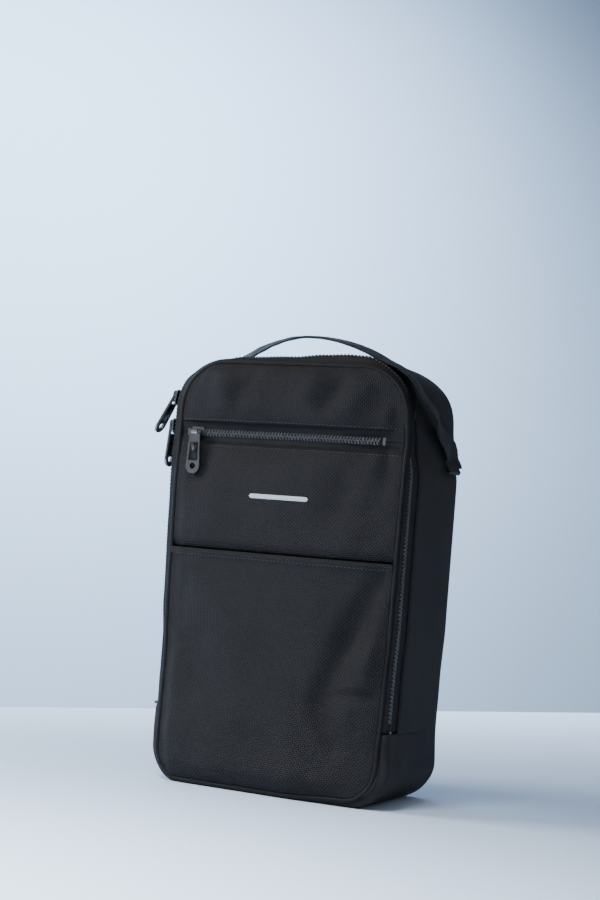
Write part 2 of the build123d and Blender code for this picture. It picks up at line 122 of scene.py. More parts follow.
def curve_value(points, at):
    """A smooth value through (place, value) points, flat beyond the ends."""
    if at <= points[0][0]:
        return points[0][1]
    for (low, first), (high, second) in zip(points, points[1:]):
        if at <= high:
            return first + (second - first) * smooth(at, low, high)
    return points[-1][1]


def spread(low, high, step):
    """Evenly spaced values from low to high, about step apart."""
    count = max(1, round(abs(high - low) / step))
    return [low + (high - low) * i / count for i in range(count + 1)]


# === The outline: a closed line round the bag, seen from the front ===
SIDE_EDGE_Y = TAPE_BACK_Y + 3 * MM
SIDE_RUN = TOP_Z - TOP_RADIUS - FOLD_Z
TOP_ARC = TOP_RADIUS * math.pi / 2
TOP_RUN = 2 * (HALF_WIDTH - TOP_RADIUS)
ZIP_LENGTH = 2 * SIDE_RUN + 2 * TOP_ARC + TOP_RUN
LOW_RUN = FOLD_Z - BOTTOM_RADIUS
BOTTOM_ARC = BOTTOM_RADIUS * math.pi / 2
BOTTOM_RUN = 2 * (HALF_WIDTH - BOTTOM_RADIUS)
LOOP_LENGTH = ZIP_LENGTH + 2 * LOW_RUN + 2 * BOTTOM_ARC + BOTTOM_RUN


TOP_X, TOP_CORNER_Z = HALF_WIDTH - TOP_RADIUS, TOP_Z - TOP_RADIUS
LOW_X = HALF_WIDTH - BOTTOM_RADIUS
# Clockwise from the left end of the fold. A straight has a length, no radius, a start (x, z) and a
# direction. A corner has a length, a radius, a centre (x, z) and a first angle.
OUTLINE = [
    (SIDE_RUN, None, (-HALF_WIDTH, FOLD_Z), (0, 1)),
    (TOP_ARC, TOP_RADIUS, (-TOP_X, TOP_CORNER_Z), math.pi),
    (TOP_RUN, None, (-TOP_X, TOP_Z), (1, 0)),
    (TOP_ARC, TOP_RADIUS, (TOP_X, TOP_CORNER_Z), math.pi / 2),
    (SIDE_RUN + LOW_RUN, None, (HALF_WIDTH, TOP_CORNER_Z), (0, -1)),
    (BOTTOM_ARC, BOTTOM_RADIUS, (LOW_X, BOTTOM_RADIUS), 0.0),
    (BOTTOM_RUN, None, (LOW_X, 0), (-1, 0)),
    (BOTTOM_ARC, BOTTOM_RADIUS, (-LOW_X, BOTTOM_RADIUS), -math.pi / 2),
    (LOOP_LENGTH, None, (-HALF_WIDTH, BOTTOM_RADIUS), (0, 1)),
]


def outline_at(s):
    """The outline's point and outward normal at distance s from the left end of the fold."""
    s = s % LOOP_LENGTH
    for length, radius, (x, z), heading in OUTLINE:
        if s < length:
            break
        s -= length
    if radius:
        angle = heading - s / radius
        normal = Vector((math.cos(angle), 0, math.sin(angle)))
        return Vector((x, 0, z)) + normal * radius, normal
    return Vector((x + heading[0] * s, 0, z + heading[1] * s)), Vector((-heading[1], 0, heading[0]))


def rim(s, inset, y):
    """A point at distance s round the bag, moved in from the outline, at depth y."""
    point, normal = outline_at(s)
    return Vector((point.x - normal.x * inset, y, point.z - normal.z * inset))


# === The soft shape: how the stuffed cloth leaves the drawn outline ===
# Sideways shift of the front's edges against height, in mm: the front stands skewed on the bag.
FRONT_SHIFT_LEFT = [(4, 4.5), (40, 6), (105, 7), (155, 5), (190, 4.5), (250, 3.5), (300, 4.5), (350, 5)]
FRONT_SHIFT_RIGHT = [(10, -3), (40, -1), (90, 1), (150, 3), (300, 5), (350, 3)]
# The same for the body behind the zip: how far its stuffed sides bulge to the right.
REAR_SHIFT_LEFT = [(10, 4), (70, 4.6), (120, 4.4), (155, 2), (230, 0), (265, -1), (310, 0)]
REAR_SHIFT_RIGHT = [(8, 0.5), (25, 1.5), (60, 0), (100, 0.6), (150, 2.4), (270, 3), (297, -1.5), (322, -3.5),
                    (355, -1)]
# How far the padded top stands up behind the piping, in mm, against x.
TOP_RISE = [(-106, -1), (-92, -4.5), (-72, -4.5), (-50, -0.5), (0, 1), (28, 3.2), (50, 4), (68, 3.2),
            (82, 0.6), (92, 0)]
SHIFT_START_Y = ZIP_Y - CHAIN_HALF
SHIFT_END_Y = PIPE_Y + PIPE_RADIUS
BOTTOM_PIPE_DROP = 3.2 * MM
REAR_SAG = 3.5 * MM
FRONT_FALL = 3.0 * MM
POCKET_FALL = 1.9 * MM               # more at the pocket zip, to leave room for its slider


def soften(p):
    """Where a drawn point of the body lies on the stuffed bag."""
    q = p.copy()
    side = smooth(p.x, -HALF_WIDTH, HALF_WIDTH)
    near_front = 1 - smooth(p.y, SHIFT_END_Y, SHIFT_START_Y)
    left = curve_value(FRONT_SHIFT_LEFT, p.z / MM) * MM
    right = curve_value(FRONT_SHIFT_RIGHT, p.z / MM) * MM
    q.x += near_front * (left + (right - left) * side)
    drop = BOTTOM_PIPE_DROP * (1 - 0.8 * smooth(p.x, 20 * MM, 80 * MM))
    q.z -= near_front * drop * (1 - smooth(p.z, 6 * MM, 30 * MM))
    rear_left = curve_value(REAR_SHIFT_LEFT, p.z / MM) * MM * smooth(-p.x, 60 * MM, 110 * MM)
    rear_right = curve_value(REAR_SHIFT_RIGHT, p.z / MM) * MM * smooth(p.x, 60 * MM, 108 * MM)
    q.x += (1 - near_front) * (rear_left + rear_right)
    top = smooth(p.z, 300 * MM, 360 * MM) * smooth(p.y, PIPE_Y + PIPE_RADIUS, ZIP_Y - 2 * MM)
    q.z += curve_value(TOP_RISE, p.x / MM) * MM * top * (1 - 0.7 * smooth(p.y, -25 * MM, 40 * MM))
    # the front's right third falls back, away from the middle
    fall = FRONT_FALL * smooth(p.x, 20 * MM, 105 * MM)
    fall += POCKET_FALL * smooth(p.x, 40 * MM, 78 * MM) * bell(p.z - POCKET_Z, 12 * MM)
    q.y += fall * (1 - smooth(p.y, SHIFT_END_Y, SHIFT_START_Y))
    # the stuffed corner at the top right falls away towards the back
    corner = smooth(p.x, 52 * MM, 100 * MM) * smooth(p.z, 290 * MM, 350 * MM)
    q.z -= REAR_SAG * corner * smooth(p.y, -20 * MM, 50 * MM)
    return q


# === Mesh helpers ===
def mesh_piece(name, vertices, faces, uvs=None):
    mesh = bpy.data.meshes.new(name)
    mesh.from_pydata([tuple(v) for v in vertices], [], faces)
    if uvs is not None:
        layer = mesh.uv_layers.new(name="cloth")
        for loop in mesh.loops:
            layer.data[loop.index].uv = uvs[loop.vertex_index]
    for polygon in mesh.polygons:
        polygon.use_smooth = True
    piece = bpy.data.objects.new(name, mesh)
    bpy.context.scene.collection.objects.link(piece)
    return piece


def grid_piece(name, rows, closed=False):
    """A sheet through rows of (point, uv) pairs. closed joins each row's end to its start."""
    columns = len(rows[0])
    faces = []
    for r in range(len(rows) - 1):
        for c in range(columns - 1 + closed):
            d = (c + 1) % columns
            faces.append((r * columns + c, r * columns + d, (r + 1) * columns + d, (r + 1) * columns + c))
    pairs = [pair for row in rows for pair in row]
    return mesh_piece(name, [point for point, uv in pairs], faces, [uv for point, uv in pairs])


def thicken(piece, thickness):
    """Give a sheet its thickness, on the inner side of its normals."""
    solid = piece.modifiers.new("thickness", "SOLIDIFY")
    solid.thickness = thickness
    solid.offset = -1.0
    solid.use_rim = True
    bpy.context.view_layer.update()
    depsgraph = bpy.context.evaluated_depsgraph_get()
    final = bpy.data.meshes.new_from_object(piece.evaluated_get(depsgraph), depsgraph=depsgraph)
    piece.modifiers.clear()
    piece.data = final
    return piece


def join_meshes(name, parts):
    """One piece from (vertices, faces) lists."""
    vertices, faces = [], []
    for part_vertices, part_faces in parts:
        start = len(vertices)
        vertices.extend(part_vertices)
        faces.extend([tuple(start + i for i in face) for face in part_faces])
    return mesh_piece(name, vertices, faces)


def clean(piece, weld=False, fill=False):
    """Turn a piece's faces outwards, after welding doubled points and filling open ends where asked."""
    cleaner = bmesh.new()
    cleaner.from_mesh(piece.data)
    if weld:
        bmesh.ops.remove_doubles(cleaner, verts=cleaner.verts, dist=1e-7)
    if fill:
        bmesh.ops.holes_fill(cleaner, edges=[e for e in cleaner.edges if e.is_boundary], sides=0)
    bmesh.ops.recalc_face_normals(cleaner, faces=cleaner.faces)
    cleaner.to_mesh(piece.data)
    cleaner.free()
    return piece


def closed_cord(name, points, normals, radius, sides):
    """A round cord through a closed loop of points. normals say which way is out."""
    rows = []
    run = 0.0
    for i, point in enumerate(points):
        before, after = points[i - 1], points[(i + 1) % len(points)]
        along = (after - before).normalized()
        out = (normals[i] - along * normals[i].dot(along)).normalized()
        across = along.cross(out)
        run += (point - before).length if i else 0.0
        ring = []
        for k in range(sides):
            angle = 2 * math.pi * k / sides
            place = point + out * (radius * math.cos(angle)) + across * (radius * math.sin(angle))
            ring.append((place, (run, 2 * math.pi * radius * k / sides)))
        rows.append(ring)
    last_run = run + (points[0] - points[-1]).length
    rows.append([(place, (last_run, uv[1])) for place, uv in rows[0]])
    return clean(grid_piece(name, rows, closed=True), weld=True)


def ribbon(name, stations, half_width, thickness):
    """A flat band with rounded edges through (middle, across, out) stations, with its cloth UV."""
    half = thickness / 2
    inner = half_width - half
    edge = 3
    section = [(-inner + 2 * inner * k / 6, half) for k in range(7)]
    section += [(inner + half * math.sin(math.pi * k / edge), half * math.cos(math.pi * k / edge))
                for k in range(1, edge)]
    section += [(inner - 2 * inner * k / 6, -half) for k in range(7)]
    section += [(-inner - half * math.sin(math.pi * k / edge), -half * math.cos(math.pi * k / edge))
                for k in range(1, edge)]
    rows, run = [], 0.0
    for i, (middle, across, out) in enumerate(stations):
        run += (middle - stations[i - 1][0]).length if i else 0.0
        rows.append([(middle + across * a + out * b, (a, run)) for a, b in section])
    return clean(grid_piece(name, rows, closed=True), fill=True)


def solid_between(outline, levels):
    """Vertices and faces of a closed solid: the outline, scaled by each (height, scale) level."""
    count = len(outline)
    vertices = [(u * scale, v * scale, height) for height, scale in levels for u, v in outline]
    faces = [tuple(reversed(range(count)))]
    for level in range(len(levels) - 1):
        for k in range(count):
            n = (k + 1) % count
            low, high = level * count, (level + 1) * count
            faces.append((low + k, low + n, high + n, high + k))
    faces.append(tuple(range((len(levels) - 1) * count, len(levels) * count)))
    return vertices, faces


def placed(solid, origin, along, across, out):
    """The solid's vertices carried to a frame of three unit vectors."""
    vertices, faces = solid
    return [origin + along * u + across * v + out * w for u, v, w in vertices], faces


STITCH_LENGTH = 2.6 * MM
STITCH_PITCH = 3.5 * MM
STITCH_HALF = 0.36 * MM


STITCH = solid_between([(STITCH_HALF * math.cos(k * math.pi / 3), STITCH_HALF * math.sin(k * math.pi / 3))
                        for k in range(6)],
                       [(STITCH_LENGTH * reach, scale)
                        for reach, scale in ((-0.5, 0.35), (-0.3, 1.0), (0.3, 1.0), (0.5, 0.35))])


def stitches(places):
    """Thread stitches at (point, along, out) places: small rounded bars, sunk a little."""
    return [placed(STITCH, point, out.cross(along).normalized(), out, along) for point, along, out in places]


def stitch_line(points, outs):
    """Places of stitches at even steps along a line of points with their outward directions."""
    places = []
    gap = STITCH_PITCH / 2
    for i in range(len(points) - 1):
        start, end = points[i], points[i + 1]
        length = (end - start).length
        along = (end - start).normalized()
        while gap < length:
            out = (outs[i] - along * outs[i].dot(along)).normalized()
            places.append((start + along * gap, along, out))
            gap += STITCH_PITCH
        gap -= length
    return places


# === Materials ===
class Shader:
    """A short way to write a node tree."""

    def __init__(self, name):
        self.material = bpy.data.materials.new(name)
        self.material.use_nodes = True
        self.tree = self.material.node_tree
        self.surface = self.tree.nodes["Principled BSDF"]

    def node(self, kind, **settings):
        made = self.tree.nodes.new(kind)
        for key, value in settings.items():
            setattr(made, key, value)
        return made

    def link(self, output, socket):
        self.tree.links.new(output, socket)

    def fill(self, socket, value):
        if isinstance(value, (int, float)):
            socket.default_value = value
        else:
            self.link(value, socket)

    def math(self, operation, *values):
        made = self.node("ShaderNodeMath", operation=operation)
        for socket, value in zip(made.inputs, values):
            self.fill(socket, value)
        return made.outputs[0]

    def cloth_uv(self, scale_u, scale_v):
        """U and V of the cloth in cells of the given sizes."""
        uv = self.node("ShaderNodeUVMap", uv_map="cloth")
        parts = self.node("ShaderNodeSeparateXYZ")
        self.link(uv.outputs[0], parts.inputs[0])
        return self.math("DIVIDE", parts.outputs[0], scale_u), self.math("DIVIDE", parts.outputs[1], scale_v)

    def noise(self, scale, detail=2.0):
        where = self.node("ShaderNodeTexCoord")
        made = self.node("ShaderNodeTexNoise")
        made.inputs["Scale"].default_value = scale
        made.inputs["Detail"].default_value = detail
        made.inputs["Roughness"].default_value = 0.5
        self.link(where.outputs["Object"], made.inputs["Vector"])
        return made.outputs[0]

    def ramp(self, value, low, high, low_colour, high_colour):
        """Colours the surface from low_colour to high_colour as value goes from low to high."""
        made = self.node("ShaderNodeValToRGB")
        for stop, place, colour in zip(made.color_ramp.elements, (low, high), (low_colour, high_colour)):
            stop.position = place
            stop.color = (*colour, 1)
        self.link(value, made.inputs[0])
        self.link(made.outputs[0], self.surface.inputs["Base Color"])

    def bump(self, height, strength, distance):
        made = self.node("ShaderNodeBump")
        made.inputs["Strength"].default_value = strength
        made.inputs["Distance"].default_value = distance
        self.link(height, made.inputs["Height"])
        self.link(made.outputs[0], self.surface.inputs["Normal"])

    def waves(self, value):
        return self.math("SINE", self.math("MULTIPLY", value, 2 * math.pi))

    def dress(self, tone, span, dark, light, rough, relief=None, specular=0.5):
        """Go from dark to light as tone crosses span. relief is (height, strength, distance)."""
        self.ramp(tone, *span, dark, light)
        self.fill(self.surface.inputs["Roughness"], rough)
        self.surface.inputs["Specular IOR Level"].default_value = specular
        if relief:
            self.bump(*relief)
        return self.material


def weave_height(shader, pitch):
    """Crossing yarns: 1 on the crowns, 0 between them, and which of the two yarns is on top."""
    u, v = shader.cloth_uv(pitch, pitch)
    product = shader.math("MULTIPLY", shader.waves(u), shader.waves(v))
    return shader.math("ABSOLUTE", product), product


def ballistic_nylon():
    """Heavy basket weave: fat crowns in staggered rows over dark gaps, a little uneven; the crowns of one
    yarn carry a painted sheen, brighter than the other's.
    """
    shader = Shader("ballistic_nylon")
    height, over = weave_height(shader, 3.1 * MM)
    # painted sheen: the cells where one yarn lies on top are painted lighter, standing in for its reflection
    crown = shader.math("MULTIPLY_ADD", over, 0.5, 0.5)
    fleck = shader.math("MULTIPLY", shader.noise(420.0, 1.0), 0.35)
    mottle = shader.math("MULTIPLY", shader.noise(24.0, 3.0), 0.30)
    tone = shader.math("ADD", shader.math("MULTIPLY_ADD", crown, 0.62, mottle), fleck)
    rough = shader.math("MULTIPLY_ADD", crown, -0.14, 0.62)
    return shader.dress(tone, (0.25, 1.05), (0.0008, 0.0007, 0.0008), (0.0215, 0.0194, 0.0215), rough,
                        (height, 0.9, 0.5 * MM), 0.18)


def side_nylon():
    shader = Shader("side_nylon")
    height, over = weave_height(shader, 1.1 * MM)
    mottle = shader.noise(60.0, 4.0)
    rough = shader.math("MULTIPLY_ADD", mottle, 0.15, 0.60)
    return shader.dress(shader.math("MULTIPLY_ADD", over, 0.25, mottle), (0.2, 0.9), (0.0095, 0.0086, 0.0090),
                        (0.0255, 0.0225, 0.0235), rough, (height, 0.4, 0.2 * MM), 0.2)


def fine_weave(name, pitch, share, grain, span, dark, light, rough, relief, specular=0.5):
    """A thin plain weave. share is how much the yarns show over the grain, a noise."""
    shader = Shader(name)
    height, over = weave_height(shader, pitch)
    tone = shader.math("MULTIPLY_ADD", over, share, shader.noise(*grain))
    return shader.dress(tone, span, dark, light, rough, (height, *relief), specular)


def moulded(name, grain, span, dark, light, rough, uneven=0.0, relief=None, specular=0.5):
    """Metal, plastic, board or thread. relief is (scale, detail, strength, distance) of a noise."""
    shader = Shader(name)
    tone = shader.noise(*grain)
    if uneven:
        rough = shader.math("MULTIPLY_ADD", tone, uneven, rough)
    if relief:
        relief = (shader.noise(*relief[:2]), *relief[2:])
    shader.dress(tone, span, dark, light, rough, relief, specular)
    return shader


def zip_tape_cloth():
    shader = Shader("zip_tape")
    u, v = shader.cloth_uv(1.6 * MM, 1.0 * MM)
    ribs = shader.waves(shader.math("ADD", u, shader.math("PINGPONG", v, 1.0)))
    tone = shader.math("MULTIPLY_ADD", ribs, 0.3, shader.noise(80.0, 2.0))
    return shader.dress(tone, (0.1, 0.9), (0.0045, 0.0042, 0.0046), (0.013, 0.012, 0.013), 0.66,
                        (ribs, 0.4, 0.15 * MM), 0.2)


def webbing_cloth():
    shader = Shader("webbing")
    u, v = shader.cloth_uv(1.3 * MM, 2.6 * MM)
    height = shader.math("MULTIPLY_ADD", shader.waves(u), 0.6, shader.math("MULTIPLY", shader.waves(v), 0.4))
    tone = shader.math("MULTIPLY_ADD", height, 0.25, shader.noise(70.0, 2.0))
    return shader.dress(tone, (0.1, 0.9), (0.008, 0.0075, 0.008), (0.034, 0.031, 0.034), 0.64,
                        (height, 0.45, 0.25 * MM), 0.2)


def embroidery():
    """Satin stitches of pale thread, for the plain mark on the front."""
    shader = Shader("mark_thread")
    ribs = shader.waves(shader.cloth_uv(0.5 * MM, 0.5 * MM)[0])
    tone = shader.math("MULTIPLY_ADD", ribs, 0.3, 0.5)
    return shader.dress(tone, (0.0, 1.0), (0.50, 0.51, 0.53), (0.68, 0.69, 0.71), 0.55, (ribs, 0.4, 0.1 * MM))


def gunmetal():
    shader = moulded("zip_metal", (90.0, 1.0), (0.3, 0.8), (0.24, 0.24, 0.248), (0.30, 0.30, 0.308), 0.20,
                     0.06, (700.0, 1.0, 0.02, 0.05 * MM))
    shader.surface.inputs["Metallic"].default_value = 1.0
    return shader.material


BALLISTIC = ballistic_nylon()
SIDE = side_nylon()
PIPING = fine_weave("piping_cloth", 0.8 * MM, 0.3, (90.0, 2.0), (0.2, 0.9), (0.0045, 0.0042, 0.0046),
                    (0.012, 0.0112, 0.012), 0.6, (0.35, 0.15 * MM), 0.2)
LINING = fine_weave("lining", 0.6 * MM, 0.2, (50.0, 3.0), (0.1, 0.9), (0.020, 0.020, 0.022),
                    (0.050, 0.050, 0.055), 0.7, (0.3, 0.12 * MM))
TAPE = zip_tape_cloth()
TEETH = moulded("zip_teeth", (400.0, 2.0), (0.3, 0.8), (0.055, 0.054, 0.056), (0.105, 0.104, 0.107), 0.30,
                0.12, (400.0, 2.0, 0.08, 0.05 * MM)).material
METAL = gunmetal()
# dark glossy panels that paint the shade in the pulls' recesses
RECESS_SHADE = moulded("pull_recess_shade", (90.0, 1.0), (0.3, 0.8), (0.005, 0.005, 0.006), (0.010, 0.010, 0.012), 0.38,
                 specular=0.25).material
WEBBING_CLOTH = webbing_cloth()
THREAD = moulded("thread", (900.0, 1.0), (0.3, 0.7), (0.009, 0.009, 0.010), (0.018, 0.018, 0.020),
                 0.45).material
MARK = embroidery()
BOARD = moulded("board", (120.0, 3.0), (0.3, 0.7), (0.03, 0.03, 0.03), (0.06, 0.06, 0.06), 0.6,
                relief=(900.0, 1.0, 0.1, 0.1 * MM)).material


def finish_piece(piece, material, body, replaced=()):
    """Dress a piece, hang it on its body, and hide the frame's parts that it stands for.

    "fold" and "handle_seam" only bake its placement in; such a piece hangs on no body.
    """
    piece.data.materials.clear()
    piece.data.materials.append(material)
    if body == "fold":
        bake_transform(piece)
    elif body == "handle_seam":
        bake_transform(piece)
    else:
        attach(piece, body)
    if replaced:
        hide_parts(*replaced)
    return piece


# === Walls that follow the outline ===
def wall(name, s_low, s_high, profile, thickness, dent=None, outward=1.0):
    """A sheet round the bag: one row per station, one point per (inset, y) of the profile."""
    rows = []
    for s in spread(s_low, s_high, 3 * MM):
        row, across, last = [], 0.0, profile[0]
        for inset, y in profile:
            across += math.hypot(inset - last[0], y - last[1])
            last = (inset, y)
            push = dent(s, y) if dent else 0.0
            row.append((soften(rim(s, inset - push, y)), (s, across)))
        rows.append(row)
    piece = grid_piece(name, rows)
    if outward < 0:
        piece.data.flip_normals()
    return thicken(piece, thickness)


def even_profile(inset, y_low, y_high, step=3 * MM):
    return [(inset, y) for y in spread(y_low, y_high, step)]


# Sides and top
GROOVE_START = (HANDLE_PIVOT.y + 6 * MM, HANDLE_PIVOT.z + 6 * MM)
GROOVE_END = (-12 * MM, 338 * MM)


def strap_groove(point):
    """Where the pulled strap presses into the right side's padding."""
    if point.x < HALF_WIDTH / 2:
        return 0.0
    along, away = beside(GROOVE_START, GROOVE_END, point.y, point.z)
    fade = smooth(along, -0.25, 0.2) * (1 - smooth(along, 0.9, 1.4))
    return fade * 2.6 * MM * bell(away, 7 * MM)


def side_dent(s, y):
    """Soft unevenness of the side and top cloth, outward."""
    point = rim(s, 0.0, y)
    middle = 1 - abs(2 * (y - SIDE_EDGE_Y) / (REAR_PIPE_Y - SIDE_EDGE_Y) - 1) ** 3
    broad = noise.noise(point * 14.0 + Vector((3.1, 0.4, 7.7)))
    fine = noise.noise(point * 45.0 + Vector((9.3, 2.2, 0.3)))
    return middle * (0.8 * MM + 1.3 * MM * broad + 0.35 * MM * fine) - strap_groove(point)


REAR_EDGE = [(0.2 * MM, REAR_PIPE_Y - 3.2 * MM), (1.4 * MM, REAR_PIPE_Y - 1.2 * MM)]


def side_profile():
    """From the zip tape back to the rear piping, with the cloth's folded edge over the tape."""
    edge = [(0.9 * MM, SIDE_EDGE_Y - 0.6 * MM), (0.1 * MM, SIDE_EDGE_Y - 0.2 * MM),
            (0.0, SIDE_EDGE_Y + 1.0 * MM)]
    return edge + even_profile(0.0, SIDE_EDGE_Y + 3 * MM, REAR_PIPE_Y - 5 * MM) + REAR_EDGE


side_cloth = wall("side_gusset_cloth", 0.0, ZIP_LENGTH, side_profile(), CLOTH_THICKNESS, side_dent)
finish_piece(side_cloth, SIDE, "shell", ("upper_gusset", "gusset_foam"))


def base_dent(s, y):
    point = rim(s, 0.0, y)
    on_floor = smooth(point.z, 2 * MM, 30 * MM)
    broad = noise.noise(point * 18.0 + Vector((1.7, 5.5, 2.0)))
    fine = noise.noise(point * 55.0 + Vector((4.4, 0.1, 6.6)))
    return on_floor * (0.9 * MM * broad + 0.4 * MM * fine)


def base_profile():
    front = [(5.0 * MM, PIPE_Y + 1.6 * MM), (2.4 * MM, PIPE_Y + 2.8 * MM), (0.8 * MM, PIPE_Y + 4.8 * MM)]
    return front + even_profile(0.0, PIPE_Y + 8 * MM, REAR_PIPE_Y - 5 * MM) + REAR_EDGE


base_cloth = wall("base_gusset_cloth", ZIP_LENGTH - 1.0 * MM, LOOP_LENGTH + 1.0 * MM, base_profile(),
                  CLOTH_THICKNESS, base_dent)
finish_piece(base_cloth, SIDE, "shell", ("lower_gusset", "base_foam"))

# Zip tapes
TAPE_INSET = 1.3 * MM
outer_tape = wall("main_zip_tape_rear", 2 * MM, ZIP_LENGTH - 2 * MM,
                  even_profile(TAPE_INSET, ZIP_Y + 0.7 * MM, SIDE_EDGE_Y + 3 * MM, 1.5 * MM), TAPE_THICKNESS)
finish_piece(outer_tape, TAPE, "shell", ("main_zip_tape_outer",))


def inner_tape_profile():
    flat = even_profile(TAPE_INSET, ZIP_Y - 0.7 * MM, ZIP_Y - CHAIN_HALF - 1.0 * MM, 1.2 * MM)
    lean = [(TAPE_INSET + (PIPE_INSET - TAPE_INSET) * t ** 1.5,
             flat[-1][1] + (PIPE_Y + 0.6 * MM - flat[-1][1]) * t) for t in (0.2, 0.4, 0.6, 0.8, 1.0)]
    return flat + lean


inner_tape = wall("main_zip_tape_front", 2 * MM, ZIP_LENGTH - 2 * MM, inner_tape_profile(), TAPE_THICKNESS,
                  outward=-1.0)
finish_piece(inner_tape, TAPE, "front", ("main_zip_tape_inner",))

# Front cloths
CLOTH_INSET = PIPE_INSET + 0.6 * MM
END_GAP = 0.02 * MM                   # keeps a sheet's last row from shrinking to a point
FRONT_STEP = 2.5 * MM


def front_half_width(z, inset):
    """Half the front's width at a height, at an inset from the outline."""
    for gap, radius in ((z - TOP_CORNER_Z, TOP_RADIUS), (BOTTOM_RADIUS - z, BOTTOM_RADIUS)):
        if gap > 0:
            return HALF_WIDTH - radius + math.sqrt(max(0.0, (radius - inset) ** 2 - gap ** 2))
    return HALF_WIDTH - inset


def crease(x, z, start, end, depth, width):
    """A soft fold from start to end, fading at both ends. Negative depth is a valley."""
    along, away = beside(start, end, x, z)
    fade = smooth(along, -0.15, 0.25) * (1 - smooth(along, 0.75, 1.15))
    return depth * fade * bell(away, width)


FRONT_CREASES = [
    # start (x, z), end (x, z), depth and width, all in mm
    ((100, 200), (64, 128), -4.6, 9),
    ((116, 172), (86, 112), 3.2, 10),
    ((74, 146), (48, 80), -5.0, 9),
    ((92, 128), (72, 60), 2.6, 12),
    ((106, 92), (54, 88), -2.8, 5),
    ((44, 86), (72, 40), -3.6, 8),
    ((20, 60), (40, 14), 2.0, 10),
    ((-98, 120), (-84, 26), 3.5, 20),
    ((-62, 150), (-78, 60), -2.5, 14),
    ((-40, 160), (-20, 60), 2.0, 22),
    ((100, 330), (86, 268), -2.6, 5),
    ((90, 330), (78, 276), 2.2, 6),
    ((52, 352), (28, 318), -3.2, 8),
    ((28, 354), (12, 326), 2.0, 8),
    ((74, 348), (52, 318), 2.6, 9),
    ((-30, 352), (-52, 322), -2.2, 9),
    ((-66, 350), (-56, 318), 2.4, 10),
    ((100, 282), (74, 232), -2.2, 9),
    ((62, 284), (48, 226), -1.4, 10),
    ((88, 262), (64, 212), 1.8, 12),
    ((-96, 280), (-76, 232), 2.0, 12),
    ((-10, 282), (-6, 210), 1.6, 20),
]
POCKET_CALM = 15 * MM
PULL_REST = (-82 * MM, 274 * MM)     # the cloth lies flatter under the pocket zip's pull


def front_push(x, z):
    """How far the front cloth stands out from its drawn plane."""
    half = front_half_width(z, CLOTH_INSET)
    edge = min(half - abs(x), z - CLOTH_INSET, TOP_Z - CLOTH_INSET - z)
    inside = smooth(edge, -1 * MM, 14 * MM)
    broad = noise.noise(Vector((x, 0.3, z)) * 15.0)
    middle = noise.noise(Vector((x, 1.9, z)) * 38.0)
    pucker = noise.noise(Vector((x * 75, 4.0, z * 75))) * bell(edge - 6 * MM, 9 * MM)
    crown = 6.8 * MM * (1 - smooth(x, 2 * MM, 108 * MM)) * smooth(x, -115 * MM, -60 * MM)
    push = 1.2 * MM + crown + 2.2 * MM * broad + 1.1 * MM * middle
    for start, end, depth, width in FRONT_CREASES:
        push += crease(x / MM, z / MM, start, end, depth, width) * MM
    calm = 1 - 0.85 * bell(z - POCKET_Z, POCKET_CALM)
    calm *= 1 - 0.8 * bell(x - PULL_REST[0], 14 * MM) * bell(z - PULL_REST[1], 26 * MM)
    return inside * push * calm + 0.6 * MM * pucker - 0.8 * MM * bell(edge, 2.5 * MM)


def front_point(x, z, push):
    return soften(Vector((x, FRONT_Y - push, z)))


def sheet_rows(heights, inset, step, place):
    """Rows of (point, uv) pairs that fill the outline at an inset, with place(x, z) giving each point."""
    rows = []
    for z in heights:
        half = front_half_width(z, inset)
        rows.append([(place(u * half, z), (u * half, z)) for u in spread(-1.0, 1.0, step / HALF_WIDTH)])
    return rows


def front_sheet(name, z_low, z_high, edge_push):
    """A piece of the front's cloth between two heights."""
    low, high = CLOTH_INSET + END_GAP, TOP_Z - CLOTH_INSET - END_GAP
    heights = [min(max(z, low), high) for z in spread(z_low, z_high, FRONT_STEP)]
    rows = sheet_rows(heights, CLOTH_INSET, FRONT_STEP,
                      lambda x, z: front_point(x, z, front_push(x, z) + edge_push(z)))
    return thicken(grid_piece(name, rows), CLOTH_THICKNESS)


def seam_lip(z):
    """The lower cloth's folded top edge stands a little proud at the middle seam."""
    return 2.1 * MM * bell(MIDDLE_SEAM_Z - 2.5 * MM - z, 3.4 * MM)


def seam_tuck(z):
    """The cloth above dives in behind the middle seam, and lies low beside the pocket zip."""
    return -2.7 * MM * bell(z - MIDDLE_SEAM_Z, 5.5 * MM) - 0.5 * MM * bell(z - WINDOW_LOW_Z, 2.0 * MM)


def window_tuck(z):
    return -0.5 * MM * bell(z - WINDOW_HIGH_Z, 2.0 * MM)


for cloth_name, cloth_low, cloth_high, cloth_tuck, cloth_body, cloth_nodes in (
        ("lower", CLOTH_INSET, MIDDLE_SEAM_Z - 0.2 * MM, seam_lip, "fold",
         ("front_lower_panel", "base_front_panel", "base_front_foam")),
        ("middle", MIDDLE_SEAM_Z, WINDOW_LOW_Z, seam_tuck, "front", ("front_middle_panel", "front_foam")),
        ("upper", WINDOW_HIGH_Z, TOP_Z - CLOTH_INSET, window_tuck, "front", ("front_upper_panel",))):
    front_cloth = front_sheet(f"front_{cloth_name}_cloth", cloth_low, cloth_high, cloth_tuck)
    finish_piece(front_cloth, BALLISTIC, cloth_body, cloth_nodes)

# Piping
pipe_stations = spread(0.0, LOOP_LENGTH, 3 * MM)[:-1]
pipe_normals = [outline_at(s)[1] for s in pipe_stations]
front_points = [soften(rim(s, PIPE_INSET, PIPE_Y)) for s in pipe_stations]
front_pipe = closed_cord("front_piping_cord", front_points, pipe_normals, PIPE_RADIUS, 12)
finish_piece(front_pipe, PIPING, "fold", ("front_piping", "base_piping"))
rear_points = [soften(rim(s, REAR_PIPE_INSET, REAR_PIPE_Y)) for s in pipe_stations]
rear_pipe = closed_cord("rear_piping_cord", rear_points, pipe_normals, REAR_PIPE_RADIUS, 10)
finish_piece(rear_pipe, PIPING, "shell", ("rear_piping",))

